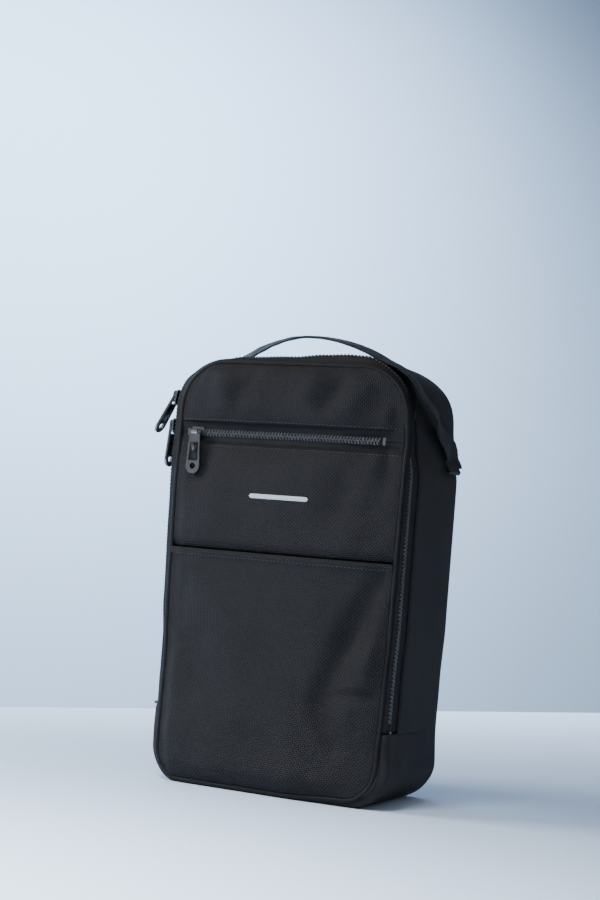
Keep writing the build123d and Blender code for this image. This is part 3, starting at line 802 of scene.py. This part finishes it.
# Back
BACK_INSET = REAR_PIPE_INSET + 0.8 * MM


def back_push(x, z):
    half = front_half_width(z, BACK_INSET)
    edge = min(half - abs(x), z - BACK_INSET, TOP_Z - BACK_INSET - z)
    crown = 3.4 * MM * smooth(edge, -2 * MM, 34 * MM)
    broad = noise.noise(Vector((x, 8.3, z)) * 12.0)
    fine = noise.noise(Vector((x, 3.7, z)) * 40.0)
    uneven = smooth(edge, 0.0, 12 * MM) * (1.6 * MM * broad + 0.5 * MM * fine)
    return crown + uneven - 0.6 * MM * bell(edge, 3 * MM)


def flat_sheet(name, inset, z_low, z_high, place):
    """A sheet that fills the outline at an inset, between two heights."""
    low, high = max(z_low, inset + END_GAP), min(z_high, TOP_Z - inset - END_GAP)
    return grid_piece(name, sheet_rows(spread(low, high, 4 * MM), inset, 4 * MM, place))


def back_point(x, z):
    return soften(Vector((x, BACK_Y - 0.4 * MM + back_push(x, z), z)))


back_cloth = flat_sheet("back_cloth", BACK_INSET, 0.0, TOP_Z, back_point)
back_cloth.data.flip_normals()
finish_piece(thicken(back_cloth, CLOTH_THICKNESS), BALLISTIC, "shell",
             ("back_panel", "back_foam"))

# Linings
QUILT_STEP = 42 * MM


def quilted(x, z):
    """A soft lining's rise between its quilting lines."""
    nearest = abs((z / QUILT_STEP) % 1.0 - 0.5) * 2
    return 0.7 * MM * (1 - nearest ** 6) + 0.25 * MM * noise.noise(Vector((x, 5.0, z)) * 50.0)


def lining_sheet(name, node, z_low, z_high, inwards, body, replaced):
    """A lining laid on the inner face of a wall. inwards is the side of Y that the bag's inside lies on."""
    low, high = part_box(node)
    face = high.y if inwards > 0 else low.y
    piece = flat_sheet(name, LINING_INSET + 0.6 * MM, z_low, z_high,
                       lambda x, z: Vector((x, face - inwards * (1.2 * MM - quilted(x, z)), z)))
    if inwards > 0:
        piece.data.flip_normals()
    return finish_piece(thicken(piece, 0.5 * MM), LINING, body, replaced)


lining_sheet("back_lining_cloth", "back_lining", 0.0, TOP_Z, -1, "shell", ("back_lining",))
lining_sheet("front_lining_cloth", "front_lining", FOLD_Z + 0.4 * MM, TOP_Z, 1, "front",
             ("front_lining", "pocket_backing"))
lining_sheet("base_front_lining_cloth", "base_front_lining", 0.0, FOLD_Z - 0.4 * MM, 1, "shell",
             ("base_front_lining",))


def gusset_lining_cloth(name, node, s_low, s_high):
    low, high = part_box(node)
    depths = spread(low.y + 0.2 * MM, high.y - 0.4 * MM, 4 * MM)
    rows = []
    for s in spread(s_low, s_high, 4 * MM):
        ripple = [0.5 * MM * noise.noise(rim(s, 0.0, y) * 40.0) for y in depths]
        rows.append([(rim(s, LINING_INSET + 0.1 * MM + lift, y), (s, y)) for lift, y in zip(ripple, depths)])
    piece = thicken(grid_piece(name, rows), 0.5 * MM)
    return finish_piece(piece, LINING, "shell", (node,))


gusset_lining_cloth("side_lining_cloth", "gusset_lining", 0.6 * MM, ZIP_LENGTH - 0.6 * MM)
gusset_lining_cloth("base_lining_cloth", "base_lining", ZIP_LENGTH + 0.6 * MM, LOOP_LENGTH - 0.6 * MM)

# Main zip teeth
TOOTH_PITCH = 3.3 * MM
TOOTH_HALF_THICK = 1.4 * MM
TOOTH_SIDE = [(-0.75, 0.46), (0.3, 0.66), (1.0, 0.42), (1.8, 0.66), (3.0, 0.66)]
REAR_ROW_SINK = 0.4 * MM


def tooth_solid():
    """One moulded tooth: head, neck and root, seen from outside; its head reaches over the centre line."""
    upper = [(half * MM, reach * MM) for reach, half in TOOTH_SIDE]
    lower = [(-half * MM, reach * MM) for reach, half in reversed(TOOTH_SIDE)]
    thick = TOOTH_HALF_THICK
    levels = [(-thick, 0.8), (-0.6 * thick, 1.0), (0.5 * thick, 1.0), (thick, 0.72)]
    return solid_between(upper + lower, levels)


TOOTH = tooth_solid()


def faceted(piece):
    for polygon in piece.data.polygons:
        polygon.use_smooth = False
    return piece


def main_teeth(side):
    """The row of teeth behind (side 1) or in front of (side -1) the zip's centre line."""
    parts = []
    clear = 6 * MM
    count = int((ZIP_LENGTH - 2 * clear) / TOOTH_PITCH)
    offset = clear + (TOOTH_PITCH / 2 if side > 0 else 0.0)
    for i in range(count):
        s = offset + i * TOOTH_PITCH
        inset = CHAIN_DEPTH + (REAR_ROW_SINK if side > 0 else 0.0)
        origin = soften(rim(s, inset, ZIP_Y))
        along = (soften(rim(s + MM, inset, ZIP_Y)) - origin).normalized()
        out = outline_at(s)[1]
        out = (out - along * out.dot(along)).normalized()
        parts.append(placed(TOOTH, origin, along, Vector((0, side, 0)), out))
    return parts


for tooth_row, tooth_side, tooth_body in (("outer", 1, "shell"), ("inner", -1, "front")):
    row_piece = join_meshes(f"main_zip_{tooth_row}_row", main_teeth(tooth_side))
    finish_piece(clean(faceted(row_piece)), TEETH, tooth_body, (f"main_zip_teeth_{tooth_row}",))

# Pocket zip
POCKET_Y = (pocket_low.y + pocket_high.y) / 2
POCKET_TOOTH_PITCH = 2.9 * MM
POCKET_TAPE_REACH = 11.5 * MM
POCKET_TOOTH_SLANT = math.radians(24)


def pocket_teeth():
    parts = []
    count = int((pocket_high.x - pocket_low.x - 2 * MM) / POCKET_TOOTH_PITCH)
    for i in range(count):
        for side in (-1, 1):
            x = pocket_low.x + 1.5 * MM + (i + (0.5 if side > 0 else 0.0)) * POCKET_TOOTH_PITCH
            origin = Vector((x, POCKET_Y - 0.1 * MM, POCKET_Z))
            along = Vector((math.cos(POCKET_TOOTH_SLANT), 0, -side * math.sin(POCKET_TOOTH_SLANT)))
            across = Vector((math.sin(POCKET_TOOTH_SLANT), 0, side * math.cos(POCKET_TOOTH_SLANT)))
            parts.append(placed(TOOTH, origin, along, across, Vector((0, -1, 0))))
    return parts


pocket_row = join_meshes("pocket_zip_rows", pocket_teeth())
finish_piece(clean(faceted(pocket_row)), TEETH, "front",
             ("pocket_zip_teeth_lower", "pocket_zip_teeth_upper"))


def pocket_tape(name, side, node):
    """Half of the pocket zip's tape, from under the teeth to under the cloth's edge."""
    rows = []
    for x in spread(-1.0, 1.0, 2.5 * MM / HALF_WIDTH):
        row = []
        for reach in spread(0.1 * MM, POCKET_TAPE_REACH, 1.5 * MM):
            z = POCKET_Z + side * reach
            at_x = x * (front_half_width(z, CLOTH_INSET) - 1.0 * MM)
            rise = 0.7 * MM * smooth(reach, 2 * MM, 8 * MM)
            rise += 0.25 * MM * noise.noise(Vector((at_x, 2.0, z)) * 60.0)
            row.append((soften(Vector((at_x, POCKET_Y - rise, z))), (at_x, reach)))
        rows.append(row)
    piece = grid_piece(name, rows)
    if side > 0:
        piece.data.flip_normals()
    return finish_piece(thicken(piece, TAPE_THICKNESS), TAPE, "front", (node,))


pocket_tape("pocket_tape_lower", -1, "pocket_zip_tape_lower")
pocket_tape("pocket_tape_upper", 1, "pocket_zip_tape_upper")

# Pull recesses: dark panels that paint the shade in the recesses
SHADE_PANEL_REACH = (9.3 * MM, 24.7 * MM)     # from the pull's axis to the recess's two ends
SHADE_PANEL_HALF = (3.4 * MM, 4.2 * MM)
SHADE_PANEL_HEIGHT = 0.4 * MM                 # the recess's floor, from the middle of the pull's thickness


def pull_shade_panels(name, node, joint, lean):
    """Dark panels in the recesses of a pull's two faces, painting the recesses' shade. lean tips a side pull
    outwards to the left.
    """
    along = Vector((-math.sin(lean), 0, -math.cos(lean)))
    across = Vector((1, 0, 0)) if joint == "pocket_pull_swing" else Vector((0, 1, 0))
    out = along.cross(across)
    (near, far), (near_half, far_half) = SHADE_PANEL_REACH, SHADE_PANEL_HALF
    panel = solid_between([(near, -near_half), (far, -far_half), (far, far_half), (near, near_half)],
                          [(0.0, 1.0), (0.2 * MM, 1.0)])
    pivot = Vector(joints[joint]["pos_m"])
    parts = [placed(panel, pivot + out * side * SHADE_PANEL_HEIGHT, along, across, out * side) for side in (1, -1)]
    finish_piece(clean(join_meshes(name, parts)), RECESS_SHADE, node)


pull_shade_panels("pocket_pull_shade_panels", "pocket_pull", "pocket_pull_swing", 0.0)
pull_shade_panels("upper_pull_shade_panels", "main_pull_upper", "upper_pull_swing", math.radians(28))
pull_shade_panels("lower_pull_shade_panels", "main_pull_lower", "lower_pull_swing", math.radians(3))

# Handle
shoulder_sin = HANDLE_SHOULDER_X / HANDLE_TOP_RADIUS
shoulder_turn = math.asin(shoulder_sin)
SHOULDER_RADIUS = (HANDLE_X - HANDLE_SHOULDER_X) / (1 - shoulder_sin)
SHOULDER_CENTRE_X = HANDLE_X - SHOULDER_RADIUS
SHOULDER_CENTRE_Z = (HANDLE_TOP_Z - HANDLE_TOP_RADIUS * (1 - math.cos(shoulder_turn))
                     - SHOULDER_RADIUS * math.cos(shoulder_turn))
SIDE_LENGTH = SHOULDER_CENTRE_Z - HANDLE_PIVOT.z
SHOULDER_LENGTH = SHOULDER_RADIUS * (math.pi / 2 - shoulder_turn)
CROWN_LENGTH = HANDLE_TOP_RADIUS * shoulder_turn
HALF_LENGTH = SIDE_LENGTH + SHOULDER_LENGTH + CROWN_LENGTH

# Depth of the strap's middle line, outward lift and twist, against mm along it from the sewn end:
# the left half's list, then the right half's.
STRAP_DEPTH = (
    [(-16, 37), (-4, 35.5), (24, 24), (50, 9), (80, -5), (110, -15), (140, -21), (167, -24)],
    [(-16, 37), (-4, 35.5), (22, -3), (44, -31), (62, -33), (110, -30), (167, -25)],
)
STRAP_LIFT = (
    [(-16, 3.2), (-6, 0.8), (10, 1.2), (50, 0.6), (76, -3), (100, -6), (125, -5), (150, -2.8), (167, -1.8)],
    [(-16, 3.2), (-6, 0.8), (10, 1.4), (26, 2.6), (50, 2.8), (66, 1.0), (90, -1.6), (167, -1.8)],
)
STRAP_TWIST = (
    [(-16, 10), (0, 0), (40, 14), (70, 26), (108, 30), (125, 26), (140, 20), (155, 14), (167, 8)],
    [(-16, 14), (-3, 4), (12, -16), (32, -18), (52, -8), (80, 4), (110, 6), (140, 6), (167, 8)],
)
# How far the webbing is gathered narrower where it twists, against mm along it
STRAP_GATHER = [(-8, 1.0), (14, 0.74), (34, 0.68), (56, 0.88), (80, 1.0)]


def arch_at(run):
    """The handle's arch at a distance up from its right end: point (x, z) and outward direction."""
    if run < SIDE_LENGTH:
        return (HANDLE_X, HANDLE_PIVOT.z + run), 0.0
    run -= SIDE_LENGTH
    if run < SHOULDER_LENGTH:
        angle = run / SHOULDER_RADIUS
        return (SHOULDER_CENTRE_X + SHOULDER_RADIUS * math.cos(angle),
                SHOULDER_CENTRE_Z + SHOULDER_RADIUS * math.sin(angle)), angle
    angle = math.pi / 2 - shoulder_turn + (run - SHOULDER_LENGTH) / HANDLE_TOP_RADIUS
    centre_z = HANDLE_TOP_Z - HANDLE_TOP_RADIUS
    return (HANDLE_TOP_RADIUS * math.cos(angle), centre_z + HANDLE_TOP_RADIUS * math.sin(angle)), angle


def along_strap(left_and_right, side, run):
    return curve_value(left_and_right[side > 0], run / MM)


def strap_middle(side, run):
    """The strap's middle point and outward direction on one side, run from its sewn end."""
    (x, z), angle = arch_at(run)
    depth = along_strap(STRAP_DEPTH, side, run) * MM
    lift = along_strap(STRAP_LIFT, side, run) * MM
    out = Vector((side * math.cos(angle), 0, math.sin(angle)))
    return Vector((side * x, depth, z)) + out * lift, out


def strap_stations():
    """Stations over the whole strap, from the right end's fold to the left's."""
    runs = spread(-15 * MM, HALF_LENGTH, 2.5 * MM)
    line = [(1, run) for run in runs] + [(-1, run) for run in reversed(runs[:-1])]
    middles = [strap_middle(side, run) for side, run in line]
    stations = []
    for i, (side, run) in enumerate(line):
        before = middles[max(i - 1, 0)][0]
        after = middles[min(i + 1, len(line) - 1)][0]
        middle, out = middles[i]
        along = (after - before).normalized()
        across = along.cross(out).normalized()
        out = across.cross(along).normalized()
        twist = math.radians(along_strap(STRAP_TWIST, side, run))
        turned = across * math.cos(twist) + out * math.sin(twist)
        gather = curve_value(STRAP_GATHER, run / MM) if side > 0 else 1.0
        stations.append((middle, turned * gather, turned.cross(along) * -1.0))
    return stations


STRAP_HALF_WIDTH = 12.3 * MM
strap = ribbon("handle_strap", strap_stations(), STRAP_HALF_WIDTH, WEBBING)
finish_piece(strap, WEBBING_CLOTH, "handle_seam", ("handle_webbing",))


def tab_stations(side):
    """The strap's folded end: from the strap's last station round a lip and up behind it."""
    path = [(114.0, 290.0), (115.4, 285.5), (117.6, 282.0), (118.8, 280.0), (118.0, 278.6), (116.0, 279.2),
            (113.8, 282.0), (112.4, 286.0), (112.0, 292.0), (112.0, 300.0)]
    stations = []
    for i, (x, z) in enumerate(path):
        before, after = path[max(i - 1, 0)], path[min(i + 1, len(path) - 1)]
        along = Vector((side * (after[0] - before[0]), 0, after[1] - before[1])).normalized()
        across = Vector((0, 1, 0))
        spot = Vector((side * x * MM, HANDLE_PIVOT.y + 1.5 * MM, z * MM))
        stations.append((spot, across, across.cross(along)))
    return stations


for tab_name, tab_side in (("left", -1), ("right", 1)):
    tab = ribbon(f"handle_fold_{tab_name}", tab_stations(tab_side), STRAP_HALF_WIDTH, WEBBING)
    finish_piece(tab, WEBBING_CLOTH, "shell", (f"handle_tab_{tab_name}",))

# Stitching
def rim_stitches(y):
    places = spread(3 * MM, ZIP_LENGTH - 3 * MM, 3 * MM)
    points = [soften(rim(s, -side_dent(s, y), y)) for s in places]
    return stitch_line(points, [outline_at(s)[1] for s in places])


def front_stitches(z, edge_push):
    half = front_half_width(z, CLOTH_INSET) - 3 * MM
    columns = spread(-half, half, 3 * MM)
    return stitch_line([front_point(x, z, front_push(x, z) + edge_push(z)) for x in columns],
                       [Vector((0, -1, 0))] * len(columns))


def depth_stitches(s):
    """A row that runs from front to back across the base's side."""
    depths = spread(PIPE_Y + 8 * MM, REAR_PIPE_Y - 5 * MM, 3 * MM)
    out = outline_at(s)[1]
    return stitch_line([soften(rim(s, -base_dent(s, y), y)) for y in depths], [out] * len(depths))


shell_rows = rim_stitches(SIDE_EDGE_Y + 2.2 * MM)
shell_rows += rim_stitches(REAR_PIPE_Y - 4.6 * MM)
for seam_s, seam_turn in ((ZIP_LENGTH, 1), (LOOP_LENGTH, -1)):
    for seam_gap in (2.2 * MM, 6.0 * MM):
        shell_rows += depth_stitches(seam_s + seam_turn * seam_gap)
shell_stitching = join_meshes("side_stitching", stitches(shell_rows))
finish_piece(clean(shell_stitching), THREAD, "shell")

front_rows = front_stitches(MIDDLE_SEAM_Z - 5.4 * MM, seam_lip)
front_rows += front_stitches(WINDOW_LOW_Z - 2.0 * MM, seam_tuck)
front_rows += front_stitches(WINDOW_HIGH_Z + 2.0 * MM, window_tuck)
front_stitching = join_meshes("front_stitching", stitches(front_rows))
finish_piece(clean(front_stitching), THREAD, "front")

# A plain mark
MARK_MIDDLE = (0.0, 246.5 * MM)
MARK_HALF_LENGTH = 27 * MM
MARK_HALF_HEIGHT = 1.9 * MM


def mark_piece():
    """A plain embroidered bar with rounded ends."""
    rows = []
    for x in spread(-MARK_HALF_LENGTH, MARK_HALF_LENGTH, 1.0 * MM):
        end_gap = max(0.0, abs(x) - (MARK_HALF_LENGTH - MARK_HALF_HEIGHT))
        half = math.sqrt(max(0.02 * MARK_HALF_HEIGHT ** 2, MARK_HALF_HEIGHT ** 2 - end_gap ** 2))
        row = []
        for v in spread(-1.0, 1.0, 0.25):
            at_x, at_z = MARK_MIDDLE[0] + x, MARK_MIDDLE[1] + v * half
            rise = 0.25 * MM + 0.35 * MM * (1 - v ** 2)
            row.append((front_point(at_x, at_z, front_push(at_x, at_z) + rise), (x, v * half)))
        rows.append(row)
    piece = grid_piece("front_mark", rows)
    piece.data.flip_normals()
    return thicken(piece, 0.5 * MM)


finish_piece(mark_piece(), MARK, "front")

# === Floor, light and camera ===
YAW = math.radians(26.9)
PITCH = math.radians(-2.4)
ROLL = math.radians(4.4)
DISTANCE = 1.507
AIM = Vector((-12 * MM, 0, 290 * MM))
LENS = 69.5


def look():
    back = Vector((math.sin(YAW) * math.cos(PITCH), -math.cos(YAW) * math.cos(PITCH), math.sin(PITCH)))
    right = Vector((math.cos(YAW), math.sin(YAW), 0))
    up = back.cross(right)
    tilted_right = right * math.cos(ROLL) + up * math.sin(ROLL)
    tilted_up = up * math.cos(ROLL) - right * math.sin(ROLL)
    camera = bpy.data.objects.new("camera", bpy.data.cameras.new("camera"))
    camera.data.lens = LENS
    camera.data.sensor_width = 36.0
    camera.data.sensor_fit = "AUTO"
    turn = Matrix((tilted_right, tilted_up, back)).transposed().to_4x4()
    camera.matrix_world = Matrix.Translation(AIM + back * DISTANCE) @ turn
    bpy.context.scene.collection.objects.link(camera)
    bpy.context.scene.camera = camera


def area_light(name, place, aim, size, power, colour, spread=180):
    lamp = bpy.data.lights.new(name, "AREA")
    lamp.shape = "RECTANGLE"
    lamp.spread = math.radians(spread)
    lamp.size, lamp.size_y = size
    lamp.energy = power
    lamp.color = colour
    light = bpy.data.objects.new(name, lamp)
    light.location = place
    light.rotation_euler = (Vector(aim) - Vector(place)).to_track_quat("-Z", "Y").to_euler()
    bpy.context.scene.collection.objects.link(light)


FLOOR_EDGE_LEFT = Vector((-0.475, 0.233, 0))
FLOOR_EDGE_RIGHT = Vector((-0.021, 0.980, 0))


def stage_piece(name, corners, tone, high_tone):
    """A flat part of the set. Its tone goes evenly from tone at the floor to high_tone at 1.4 m up; a darker
    high_tone is painted shade.
    """
    piece = mesh_piece(name, corners, [(0, 1, 2, 3)])
    shader = Shader(name)
    parts = shader.node("ShaderNodeSeparateXYZ")
    shader.link(shader.node("ShaderNodeTexCoord").outputs["Object"], parts.inputs[0])
    level = shader.math("DIVIDE", parts.outputs[2], 1.4)
    height = shader.math("MULTIPLY_ADD", shader.noise(1.5), 0.05, level)
    piece.data.materials.append(shader.dress(height, (0.3, 1.0), tone, high_tone, 0.85))


def studio():
    """A pale table, its straight far edge, and a pale wall beyond."""
    along = (FLOOR_EDGE_RIGHT - FLOOR_EDGE_LEFT).normalized()
    near = Vector((along.y, -along.x, 0))
    left, right = FLOOR_EDGE_LEFT - along * 4, FLOOR_EDGE_RIGHT + along * 4
    stage_piece("floor", [left + near * 5, right + near * 5, right, left], FLOOR_TONE, FLOOR_TONE)
    foot = Vector((0, 0, -1.5)) - near * 1.2
    head = Vector((0, 0, 3.5)) - near * 1.2
    stage_piece("backdrop", [left + foot, right + foot, right + head, left + head],
                BACKDROP_TONE, BACKDROP_HIGH_TONE)
    world = bpy.data.worlds.new("studio")
    world.use_nodes = True
    colour, strength = world.node_tree.nodes["Background"].inputs[:2]
    colour.default_value = (0.76, 0.80, 0.88, 1)
    strength.default_value = 0.42
    bpy.context.scene.world = world
    area_light("key", (-1.95, -0.95, 1.4), (0, 0, 0.2), (0.9, 0.9), 54, (1.0, 0.99, 0.98))
    area_light("front_fill", (-0.6, -2.2, 1.6), (-0.3, -0.85, 0), (0.9, 0.5), 8, (0.97, 0.98, 1.0))
    area_light("near_floor", (-0.02, -0.75, 1.1), (0.0, -0.72, 0), (0.4, 0.4), 10, (0.90, 0.95, 1.0), 75)
    area_light("back_light", (-0.50, 0.84, 1.5), (-1.25, 1.40, 0.1), (1.6, 0.5), 64, (0.82, 0.91, 1.0), 130)


FLOOR_TONE = (0.62, 0.74, 0.90)
BACKDROP_TONE = (0.54, 0.72, 0.95)
# painted shade: the backdrop darkens towards this tone higher up
BACKDROP_HIGH_TONE = (0.36, 0.49, 0.68)

def dress_cad(node_name, material):
    cad = frame["nodes"][node_name]
    cad.data.materials.clear()
    cad.data.materials.append(material)
    return cad


for node_name in ("main_slider_lower", "main_slider_upper", "pocket_slider", "main_pull_lower",
                  "main_pull_upper", "pocket_pull"):
    cad = dress_cad(node_name, METAL)
    round_edges = cad.modifiers.new("round_edges", "BEVEL")
    round_edges.width = 0.25 * MM
    round_edges.segments = 2
    round_edges.limit_method = "ANGLE"
    round_edges.angle_limit = math.radians(40)
for node_name, cad_material in (("main_zip_stops", TEETH), ("pocket_zip_stops", TEETH),
                                ("base_board", BOARD)):
    dress_cad(node_name, cad_material)

look()
studio()
